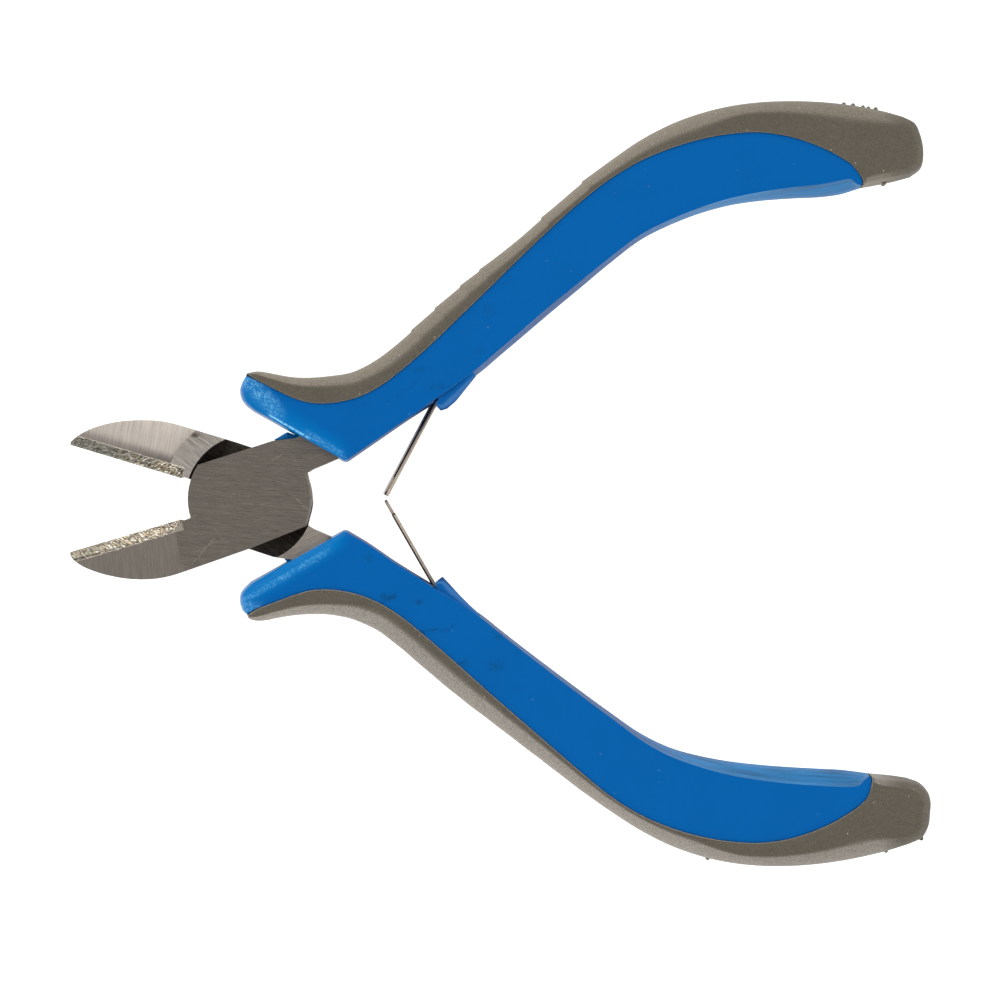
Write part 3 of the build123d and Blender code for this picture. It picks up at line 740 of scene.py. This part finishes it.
def blue_plastic(name, lower):
    g = G(name)
    big = g.noise(g.mm, 0.11, 3, 0.55)
    col = g.mix(big, lin(0, 76, 138), lin(0, 81, 144))
    # dark smudges, mostly near the spring end
    sm = g.noise(g.mm, 0.46, 4, 0.62)
    near_ = g.math("MULTIPLY", g.step(g.x, 12, 18), g.step(g.x, 36, 26))
    smudge = g.mul(g.step(sm, 0.57, 0.70), g.mul(near_, 0.75 if lower else 0.30))
    col = g.mix(smudge, col, lin(6, 58, 98))
    # light rubs and hair scratches
    v = g.mapped(-38 if not lower else 30, (0.30, 7.5, 1))
    rub = g.mul(g.step(g.noise(v, 1.0, 5, 0.6), 0.70, 0.80), g.step(g.noise(g.mm, 0.12, 1, 0.5), 0.55, 0.66))
    v2 = g.mapped(21, (0.16, 10.0, 1))
    rub2 = g.mul(g.step(g.noise(v2, 1.0, 3, 0.5), 0.73, 0.78), g.step(g.noise(g.mm, 0.2, 2, 0.5), 0.56, 0.66))
    light = g.mx(rub, rub2)
    col = g.mix(g.mul(light, 0.30), col, lin(70, 150, 200))
    # a few soft specks of dust
    spk = g.step(g.voronoi(g.mm, 0.42), 0.075, 0.03)
    col = g.mix(g.mul(spk, 0.22), col, lin(90, 140, 175))
    # hammered, shinier skin on the ear and along the mouth edge, with painted highlights: a lighter blue glow, a bright
    # streak and mottled glints stand in for its reflections; d runs inward from that edge
    if lower:
        d = g.add(g.add(g.mul(g.x, 0.514), g.mul(g.y, -0.858)), -9.58)
    else:
        d = g.add(g.add(g.mul(g.x, 0.499), g.mul(g.y, 0.866)), -9.66)
    peel = g.noise(g.mm, 2.6, 4, 0.70)
    fine = g.noise(g.mm, 8.0, 3, 0.6)
    along = g.noise(g.mapped(-30 if not lower else 31, (0.9, 3.0, 1)), 1.0, 3, 0.6)
    # painted glow: lighter blue over the ear and the mouth band; as zone it also marks the shinier, bumpier skin
    painted_glow = g.mul(g.step(d, 2.3 if lower else 3.2, 0.2), g.step(g.x, 13.0, 10.5))
    zone = painted_glow
    col = g.mix(g.mul(painted_glow, 0.85), col, lin(0, 101, 162))
    highlight_mottle = g.step(g.add(g.mul(peel, 0.55), g.mul(fine, 0.45)), 0.47, 0.60)
    if lower:
        band_ = g.mul(g.mul(g.step(d, 0.30, 0.65), g.step(d, 1.50, 0.85)), g.step(g.x, 10.6, 9.0))
        tipz = g.mul(g.mul(g.step(g.x, 2.4, -0.2), g.step(g.y, -12.0, -13.2)), 1.0)
    else:
        band_ = g.mul(g.mul(g.step(d, 0.35, 0.60), g.step(d, 1.55, 0.85)), g.mul(g.step(g.x, 12.2, 11.0), g.step(g.x, 6.3, 7.6)))
        t_ = g.math("ABSOLUTE", g.sub(g.add(g.x, g.y), 14.3))
        tipz = g.mul(g.step(t_, 2.0, 0.5), g.mul(g.step(g.x, 5.0, 2.6), g.step(g.y, 9.2, 10.6)))
        # painted highlight streak just inside the upper mouth edge
        lane = g.mul(g.step(g.math("ABSOLUTE", g.sub(d, 0.46)), 0.17, 0.06), g.mul(g.step(g.x, 2.0, 2.6), g.step(g.x, 7.6, 6.9)))
        painted_streak = g.mul(lane, g.step(along, 0.36, 0.50))
        col = g.mix(g.mul(painted_streak, 0.80), col, lin(120, 190, 226))
    # painted highlight: paler blue and mottled glints in a band by the mouth edge and on the ear's tip
    painted_highlight = g.mx(g.mul(band_, g.lin(along, 0.3, 0.7, 0.35, 1.0)), tipz)
    col = g.mix(g.mul(painted_highlight, 0.22), col, lin(60, 140, 190))
    col = g.mix(g.mul(g.mul(painted_highlight, highlight_mottle), 0.62), col, lin(104, 165, 200))
    h = g.add(g.mul(peel, g.fmix(zone, 0.08, 1.1)), g.mul(fine, g.fmix(zone, 0.08, 0.30)))
    h = g.add(h, g.mul(light, 0.10))
    nrm = g.bump(h, 0.075, 0.85)
    # the drafted side walls get a painted tone set by their slope: painted shade, darker than the face towards the
    # spring end, and painted light, lighter towards the far end, broken by faint lines along their height
    side = g.mul(g.step(g.nz, 0.60, 0.35), g.step(g.x, 11.5, 13.0))
    far = g.step(g.x, 44, 56)
    ln = g.noise(g.mapped(0, (0.12, 0.12, 3.4)), 1.0, 3, 0.6)
    col = g.mix(g.mul(side, 0.85), col, g.scale_col(g.mix(far, lin(0, 52, 98), lin(0, 90, 136) if lower else lin(6, 88, 132)), g.lin(ln, 0.35, 0.65, 0.45, 1.5)))
    # painted light: the ledge's sloped faces are made paler blue
    ledge_painted_light = g.mul(g.mul(g.step(g.nz, 0.90, 0.75), g.step(g.nz, 0.45, 0.6)), g.mul(g.step(g.x, 21.5, 22.5), g.step(g.x, 31, 28)))
    col = g.mix(g.mul(ledge_painted_light, 0.30), col, lin(84, 122, 160))
    rough = g.add(g.fmix(zone, 0.46, 0.30), g.add(g.mul(g.sub(peel, 0.5), 0.25), g.mul(light, 0.15)))
    return g.set(color=col, rough=rough, normal=nrm, spec=0.07, coat=0.0)


def grey_grip(name, lower):
    g = G(name)
    big = g.noise(g.mm, 0.16, 3, 0.6)
    grain = g.noise(g.mm, 6.5, 4, 0.72)
    pores = g.voronoi(g.mm, 4.0)
    col = g.mix(big, lin(70, 65, 55), lin(79, 73, 62))
    col = g.scale_col(col, g.lin(grain, 0.30, 0.70, 0.66, 1.36))
    # painted light on the rounded slopes: a lighter, grainy tone where the surface turns away from the top, lightest on
    # the lower handle
    slope = g.mul(g.step(g.nz, 0.9985, 0.94) if lower else g.step(g.nz, 0.998, 0.90), g.mul(g.step(g.x, 52, 66, 1.0, 0.75), g.step(g.x, 77.0, 80.5, 1.0, 0.15)))
    col = g.mix(g.mul(slope, g.lin(grain, 0.35, 0.65, 0.25, 0.95)), col, lin(148, 142, 134) if lower else lin(128, 120, 107))
    # light dust specks
    n1 = g.voronoi(g.mm, 0.55)
    spk = g.step(n1, 0.075, 0.03)
    n2 = g.noise(g.mm, 10.0, 2, 0.6)
    dust = g.mul(g.step(n2, 0.66, 0.80), g.step(g.noise(g.mm, 0.25, 2, 0.5), 0.42, 0.62))
    col = g.mix(g.mul(spk, 0.45), col, lin(176, 168, 150))
    col = g.mix(g.mul(dust, 0.50), col, lin(170, 162, 144))
    h = g.add(g.mul(grain, 0.8), g.mul(pores, 0.5))
    nrm = g.bump(h, 0.085, 0.9)
    return g.set(color=col, rough=g.lin(grain, 0.3, 0.7, 0.60, 0.78), normal=nrm, spec=0.26, sheen=0.0)


EDGE = math.radians(16.60)
# long fine handling scratches on the joint face: x0, y0, x1, y1, width, strength
SCRATCH_FRONT = [(5.40, 0.25, 7.45, -1.65, 0.045, 0.75), (-7.4, -8.3, -4.2, -4.7, 0.05, 0.5), (-6.9, -6.6, -3.4, -5.0, 0.05, 0.32),
                 (-1.4, -0.50, 3.9, -0.95, 0.04, 0.35), (2.5, 4.6, 4.1, 5.7, 0.05, 0.45), (3.0, 2.3, 5.2, 1.5, 0.035, 0.3),
                 (-6.3, 2.0, -4.2, 2.9, 0.035, 0.3), (4.9, 3.3, 6.6, 2.6, 0.035, 0.35), (0.2, -3.0, 1.9, -2.2, 0.035, 0.28),
                 (-4.6, -3.2, -3.0, -5.4, 0.035, 0.3), (7.2, 5.0, 9.6, 5.6, 0.04, 0.25), (-13.6, -6.4, -11.8, -8.2, 0.03, 0.22)]
def steel(name, which):
    """which: front, rear or rivet. Faces are told apart by their place on the part."""
    g = G(name)
    ce, se = math.cos(EDGE), math.sin(EDGE)
    sgn = 1.0 if which == "front" else -1.0     # front half has the lower jaw
    s = g.add(g.mul(g.x, -ce), g.mul(g.y, -se * sgn))                       # out along the edge
    u = g.mul(g.add(g.mul(g.x, -se), g.mul(g.y, ce * sgn)), -1.0)             # into the jaw
    r = g.math("SQRT", g.add(g.mul(g.x, g.x), g.mul(g.y, g.y)))
    face = g.step(g.math("ABSOLUTE", g.nz), 0.85, 0.95)
    wall = g.inv(g.step(g.math("ABSOLUTE", g.nz), 0.25, 0.45))
    lap = g.mul(g.step(g.math("ABSOLUTE", g.sub(g.z, MID)), 0.35, 0.15), g.step(g.math("ABSOLUTE", g.nz), 0.8, 0.9))

    def brush(deg, along, across, detail=3, seed=0.0, warp=0.0):
        v = g.mapped(deg, (along, across, 0.4), (seed, seed * 1.7, 0))
        return g.noise(v, 1.0, detail, 0.65, warp)
    # ---- joint face: long fine brush lines a little off the centre line
    a0 = 3.0 if which != "rear" else -24.0
    j1 = brush(a0, 0.10, 7.5, 5)
    j2 = brush(a0 + 1.6, 0.35, 21.0, 3, 7.3)
    j3 = brush(a0 - 2.5, 0.8, 34.0, 2, 2.3)
    jb = g.add(g.add(g.mul(j1, 0.24), g.mul(j2, 0.40)), g.mul(j3, 0.36))
    base = g.noise(g.mm, 0.22, 3, 0.6)
    joint = g.scale_col(g.mix(base, (0.285, 0.250, 0.214), (0.335, 0.294, 0.252)), g.mul(g.lin(jb, 0.38, 0.62, 0.58, 1.46), g.lin(g.noise(g.mm, 6.0, 2, 0.6), 0.3, 0.7, 0.88, 1.14)))
    if which == "rear":
        joint = g.scale_col(joint, 1.9)
    # ---- ground jaw face
    if which == "front":
        k1 = brush(84.0, 0.12, 6.0, 5, 3.1)
        k2 = brush(81.5, 0.4, 21.0, 3, 5.5)
        kb = g.add(g.mul(k1, 0.42), g.mul(k2, 0.58))
        line = g.add(g.add(g.x, g.mul(g.y, 0.29)), g.mul(g.sub(base, 0.5), 0.9))
        jaw = g.step(line, -10.2, -10.75)
        ground = g.scale_col((0.43, 0.378, 0.326), g.lin(kb, 0.36, 0.64, 0.70, 1.30))
    else:
        k1 = brush(-80.0, 0.12, 3.6, 5, 3.1)
        k2 = brush(-76.0, 0.4, 13.0, 3, 5.5)
        kb = g.add(g.mul(k1, 0.6), g.mul(k2, 0.4))
        jaw = g.step(r, 10.66, 10.80)
        # painted reflection on the curved ground face: brighter across the crown, darker by the bevel and towards the
        # spine; shine also lowers the metal there so the crown reads brighter
        crown_painted_reflection = g.mix(g.step(u, 1.2, 2.9), g.mix(g.step(s, 11.5, 18.0), (0.46, 0.40, 0.35), (0.74, 0.66, 0.58)), (0.93, 0.83, 0.73))
        shine = g.mul(jaw, g.step(u, 1.6, 2.9))
        crown_painted_reflection = g.mix(g.step(u, 5.6, 7.6, 0.0, 0.35), crown_painted_reflection, (0.66, 0.59, 0.52))
        ground = g.scale_col(crown_painted_reflection, g.lin(kb, 0.36, 0.64, 0.82, 1.18))
        # warm burn left by grinding, by the spine at the step
        bx = g.math("SQRT", g.add(g.math("POWER", g.sub(g.x, -6.75), 2.0), g.math("POWER", g.mul(g.sub(g.y, 7.85), 1.7), 2.0)))
        burn = g.mul(g.step(g.add(bx, g.mul(g.sub(g.noise(g.mm, 1.8, 3, 0.6), 0.5), 1.2)), 0.72, 0.15), 0.72)
        # land between the recess and the ground face: slanting grind lines
        l1 = brush(38.0, 0.22, 6.0, 5, 9.0, 0.4)
        l2 = brush(42.0, 0.7, 16.0, 3, 2.0)
        lb = g.add(g.mul(l1, 0.6), g.mul(l2, 0.4))
        land = g.scale_col((0.72, 0.65, 0.58), g.lin(lb, 0.36, 0.64, 0.50, 1.45))
        lm = g.mul(g.step(r, 7.75, 7.85), g.step(g.x, -2.0, -2.6))
        joint = g.mix(lm, joint, land)
        jb = g.fmix(lm, jb, lb)
    col = g.mix(jaw, joint, ground)
    if which == "rear":
        col = g.mix(g.mul(burn, face), col, (0.060, 0.030, 0.013))
    hb = g.fmix(jaw, jb, kb)
    rough = g.fmix(jaw, 0.40, 0.34 if which == "rear" else 0.38)
    # ---- nicked cutting bevels: ragged and dark, with golden flecks and painted glints of bright sparkle
    rag = g.noise(g.mm, 2.4, 3, 0.7)
    inner_end = g.math("SQRT", g.step(s, 8.65, 11.2)) if which == "front" else g.step(s, 8.6, 8.9)
    ulim = g.mul(g.add(1.30, g.mul(g.sub(rag, 0.5), 0.42)), inner_end)
    bev = g.mul(g.step(g.sub(u, ulim), 0.05, -0.05), g.mul(g.step(s, 8.6, 8.75), g.step(g.math("ABSOLUTE", g.nz), 0.3, 0.5)))
    c1 = g.noise(g.mapped(16.6 * -sgn, (0.9, 4.0, 2.0)), 1.0, 3, 0.62)
    c2 = g.noise(g.mapped(33.0 * sgn, (0.9, 4.6, 2.0), (4.0, 1.0, 0)), 1.0, 3, 0.66)
    c3 = g.noise(g.mapped(24.0 * sgn, (1.3, 6.5, 3.0)), 1.0, 2, 0.6)
    bcol = g.mix(g.step(c1, 0.40, 0.60), (0.060, 0.062, 0.052), (0.165, 0.158, 0.135))
    if which == "front":
        bcol = g.mix(0.18, bcol, (0.42, 0.365, 0.29))
    if which == "front":
        amount = g.fmix(g.step(g.math("ABSOLUTE", g.sub(s, 14.0)), 8.5, 2.0), 0.45, 0.95)
    else:
        amount = g.step(s, 19.0, 10.5, 0.10, 0.80)
    gold = g.mul(g.step(c2, 0.49, 0.55), amount)
    bcol = g.mix(gold, bcol, (0.42, 0.335, 0.22))
    # painted glints: near-white flecks of sparkle on the rough bevel
    painted_glint = g.mul(g.step(c3, 0.57, 0.62), g.mul(amount, 0.9))
    bcol = g.mix(painted_glint, bcol, (0.88, 0.82, 0.73))
    nick = g.step(g.noise(g.mapped(38.0 * sgn, (1.2, 4.6, 2.0), (9.0, 0, 0)), 1.0, 3, 0.7), 0.52, 0.58)
    bcol = g.mix(g.mul(nick, 0.80), bcol, (0.040, 0.036, 0.029))
    col = g.mix(bev, col, bcol)
    rough = g.fmix(bev, rough, g.lin(c1, 0.3, 0.7, 0.20, 0.5))
    if which == "front":
        # run-out of the bevel by the joint: a dull ground facet
        out = g.mul(g.mul(g.step(g.math("ABSOLUTE", g.nz), 0.99, 0.96), g.inv(bev)), g.mul(g.step(s, 12.0, 11.4), g.step(s, 7.0, 7.6)))
        col = g.mix(g.mul(out, 0.85), col, (0.12, 0.105, 0.088))
    # bright ragged line where the bevel meets the ground face
    lip = g.mul(g.step(g.math("ABSOLUTE", g.sub(u, g.add(ulim, 0.05))), 0.09, 0.02), g.mul(g.step(s, 8.9, 9.6), face))
    col = g.mix(g.mul(lip, g.lin(rag, 0.35, 0.6, 0.0, 0.7)), col, (0.62, 0.55, 0.44))
    # ---- relief behind the edge and the walls: painted shade makes the steep faces darker; they are also rougher
    dark = g.scale_col((0.16, 0.142, 0.124), g.lin(g.noise(g.mm, 2.2, 4, 0.6), 0.3, 0.7, 0.6, 1.4))
    col = g.mix(wall, col, dark)
    rough = g.fmix(wall, rough, 0.5)
    # ---- black scale left in the lap recesses
    blk = g.scale_col((0.066, 0.056, 0.046), g.lin(g.noise(g.mapped(30, (0.5, 2.5, 1)), 1.6, 5, 0.7), 0.32, 0.68, 0.35, 2.4))
    col = g.mix(lap, col, blk)
    rough = g.fmix(lap, rough, 0.55)
    if which == "front":
        # worn edge with a painted bevel highlight: a lighter line along the disc's right edge
        rim_wear_and_highlight = g.mul(g.mul(g.step(r, 7.30, 7.52), g.step(r, 7.80, 7.70)), g.mul(g.mul(g.step(g.x, 4.5, 6.0), g.step(g.math("ABSOLUTE", g.y), 3.3, 2.5)), face))
        col = g.mix(g.mul(rim_wear_and_highlight, g.lin(rag, 0.3, 0.7, 0.1, 0.6)), col, (0.75, 0.67, 0.57))
    # ---- handling scratches, each a faint broken line
    brk = g.noise(g.mm, 3.4, 3, 0.7)
    sc = None
    if which == "front":
        for x0, y0, x1, y1, w, k in SCRATCH_FRONT:
            L = math.hypot(x1 - x0, y1 - y0)
            tx, ty = (x1 - x0) / L, (y1 - y0) / L
            al = g.add(g.mul(g.sub(g.x, x0), tx), g.mul(g.sub(g.y, y0), ty))
            ac = g.add(g.mul(g.sub(g.x, x0), -ty), g.mul(g.sub(g.y, y0), tx))
            line_ = g.mul(g.step(g.math("ABSOLUTE", g.add(ac, g.mul(g.sub(base, 0.5), 0.5))), w, w * 0.3),
                          g.step(g.math("ABSOLUTE", g.sub(al, L / 2)), L / 2, L / 2 - 0.5))
            line_ = g.mul(g.mul(line_, g.step(brk, 0.40, 0.55)), k)
            sc = line_ if sc is None else g.mx(sc, line_)
        sc = g.mul(sc, g.mul(face, g.inv(bev)))
        col = g.mix(sc, col, (0.98, 0.88, 0.74))
    # ---- small dark pits
    pit = g.mul(g.step(g.voronoi(g.mm, 1.3), 0.085, 0.03), face)
    col = g.mix(g.mul(pit, 0.45), col, (0.03, 0.026, 0.022))
    n1 = g.bump(hb, 0.016, 0.6)
    nb = g.bump(g.mul(g.add(c1, g.add(c2, c3)), bev), 0.10, 0.9, n1)
    metal = 1.0 if which != "rear" else g.sub(1.0, g.mul(g.mul(shine, g.inv(bev)), 0.17))
    return g.set(color=col, metal=metal, rough=rough, normal=nb, aniso=0.0)


def spring_steel(name, lower):
    g = G(name)
    a = g.noise(g.mapped(62 if not lower else -60, (0.3, 9.0, 0.5)), 1.0, 3, 0.6)
    b = g.noise(g.mm, 1.6, 4, 0.65)
    col = g.scale_col(g.mix(b, (0.40, 0.33, 0.26), (0.56, 0.47, 0.38)), g.lin(a, 0.3, 0.7, 0.82, 1.15))
    # painted shade on the broad face, dark as it looks seen at a grazing angle; on the upper leaf one edge gets a
    # painted highlight
    w = g.sub(g.z, MID)
    if lower:
        face_painted_shade = g.step(g.math("ABSOLUTE", g.nz), 0.6, 0.4)
        col = g.mix(g.mul(face_painted_shade, 0.92), col, (0.060, 0.044, 0.032))
    else:
        face_painted_shade = g.mul(g.mul(g.step(w, 1.25, 1.05), g.step(w, -0.55, -0.35)), g.step(g.math("ABSOLUTE", g.nz), 0.6, 0.4))
        # painted highlight: a bright reflection along the leaf's lower edge
        col = g.mix(g.mul(g.step(w, -0.35, -0.55), g.step(g.math("ABSOLUTE", g.nz), 0.6, 0.4)), col, (0.80, 0.72, 0.64))
        col = g.mix(g.mul(face_painted_shade, 0.96), col, (0.018, 0.013, 0.010))
    tar = g.step(g.noise(g.mm, 2.2, 3, 0.6), 0.60, 0.74)
    col = g.mix(g.mul(tar, 0.45), col, (0.14, 0.10, 0.07))
    return g.set(color=col, spec=0.0, metal=g.mul(g.inv(face_painted_shade), 0.45), rough=g.lin(b, 0.3, 0.7, 0.38, 0.55), normal=g.bump(a, 0.006, 0.5))


# -------------------------------------------------------------------- pieces
M_BLUE_U, M_BLUE_L = blue_plastic("blue_plastic_upper", False), blue_plastic("blue_plastic_lower", True)
M_GREY_U, M_GREY_L = grey_grip("grey_grip_upper", False), grey_grip("grey_grip_lower", True)
M_FRONT, M_REAR = steel("ground_steel_front", "front"), steel("ground_steel_rear", "rear")
M_SPRING = {False: spring_steel("spring_strip_upper", False), True: spring_steel("spring_strip_lower", True)}


def give(ob, m):
    ob.data.materials.clear()
    ob.data.materials.append(m)


def piece(ob, body, m, node):
    give(ob, m)
    if body:
        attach(ob, body)
    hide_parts(node)
    return ob


piece(sleeve("blue_sleeve_upper", False), "front_half", M_BLUE_U, "upper_handle_sleeve")
piece(sleeve("blue_sleeve_lower", True), "rear_half", M_BLUE_L, "lower_handle_sleeve")
piece(grip("soft_grip_upper", False), "front_half", M_GREY_U, "upper_handle_grip")
piece(grip("soft_grip_lower", True), "rear_half", M_GREY_L, "lower_handle_grip")
for nm, low, body, own, node in (("leaf_upper", False, "front_half", "upper_leaf", "upper_leaf_spring"),
                                 ("leaf_lower", True, "rear_half", "lower_leaf", "lower_leaf_spring")):
    ob = leaf(nm, low)
    piece(ob, None, M_SPRING[low], node)
    tip, mouth = (np.array(p) for p in LEAF[low])
    d = (mouth - tip) / np.linalg.norm(mouth - tip)
    a, b = mouth + d * 1.0, mouth - d * 1.6
    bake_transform(ob)

for nm, m in (("front_jaw_half", M_FRONT), ("rear_jaw_half", M_REAR), ("pivot_rivet", M_FRONT)):
    o = NODES[nm]
    give(o, m)
    for p in o.data.polygons:
        p.use_smooth = True
    try:
        o.data.set_sharp_from_angle(angle=math.radians(24))
    except AttributeError:
        pass
    if nm != "pivot_rivet":
        bv = o.modifiers.new("worn_edges", "BEVEL")
        bv.width = 0.00006
        bv.segments = 2
        bv.limit_method = "ANGLE"
        bv.angle_limit = math.radians(30)
        bv.harden_normals = False

# --------------------------------------------------------------------- stage
me = bpy.data.meshes.new("floor")
S, Z = 1.6, (CAD_BOX[0][2] - 0.0002)
n = 24
V, F = [], []
for i in range(n + 1):
    for j in range(n + 1):
        V.append((-S + 2 * S * i / n, -S + 2 * S * j / n, Z))
for i in range(n):
    for j in range(n):
        a = i * (n + 1) + j
        F.append((a, a + n + 1, a + n + 2, a + 1))
me.from_pydata(V, [], F)
floor = bpy.data.objects.new("floor", me)
bpy.context.scene.collection.objects.link(floor)
gf = G("pale_floor")
fl = gf.noise(gf.mm, 0.02, 2, 0.5)
gf.set(color=gf.mix(fl, (0.30, 0.30, 0.30), (0.33, 0.33, 0.33)), rough=0.9, spec=0.0)
gf.b.inputs["Emission Color"].default_value = (1, 1, 1, 1)
gf.b.inputs["Emission Strength"].default_value = 1.0
me.materials.append(gf.m)


def area(name, loc, target, size, power, color=(1, 1, 1)):
    L = bpy.data.lights.new(name, "AREA")
    L.shape = "RECTANGLE"
    L.size, L.size_y = size
    L.energy = power
    L.color = color
    o = bpy.data.objects.new(name, L)
    o.location = loc
    o.rotation_euler = (Vector(target) - Vector(loc)).to_track_quat("-Z", "Y").to_euler()
    bpy.context.scene.collection.objects.link(o)
    return o


C = (0.03, 0.0, 0.0)
area("soft_left", (-0.62, 0.08, 0.30), C, (0.45, 0.9), 4.2)
area("soft_right", (0.68, -0.05, 0.30), C, (0.45, 0.9), 4.2)
area("soft_back", (-0.02, 0.66, 0.32), C, (1.0, 0.42), 5.2)
area("soft_front", (0.05, -0.62, 0.30), C, (1.0, 0.40), 4.4)
w = bpy.data.worlds.new("studio")
bpy.context.scene.world = w
w.use_nodes = True
nt = w.node_tree
bg = nt.nodes["Background"]
tc = nt.nodes.new("ShaderNodeTexCoord")
sx = nt.nodes.new("ShaderNodeSeparateXYZ")
nt.links.new(tc.outputs["Generated"], sx.inputs[0])
mr = nt.nodes.new("ShaderNodeMapRange")
nt.links.new(sx.outputs[2], mr.inputs[0])
mr.inputs[1].default_value, mr.inputs[2].default_value = 0.25, 0.95
mr.inputs[3].default_value, mr.inputs[4].default_value = 0.80, 0.13
bg.inputs[0].default_value = (0.97, 0.98, 1.0, 1)
nt.links.new(mr.outputs[0], bg.inputs[1])

cam = bpy.data.cameras.new("camera")
cam.sensor_width = 36.0
co = bpy.data.objects.new("camera", cam)
bpy.context.scene.collection.objects.link(co)
D = 1.15
co.location = (0.030778, -0.00006, 0.0090 + D)
co.rotation_euler = (0, 0, math.radians(0.14))
cam.lens = 36.0 * D / (1000 / 8.14 * MM)
cam.clip_start, cam.clip_end = 0.05, 10
bpy.context.scene.camera = co
bpy.context.scene.view_settings.view_transform = "Standard"
bpy.context.scene.view_settings.look = "None"
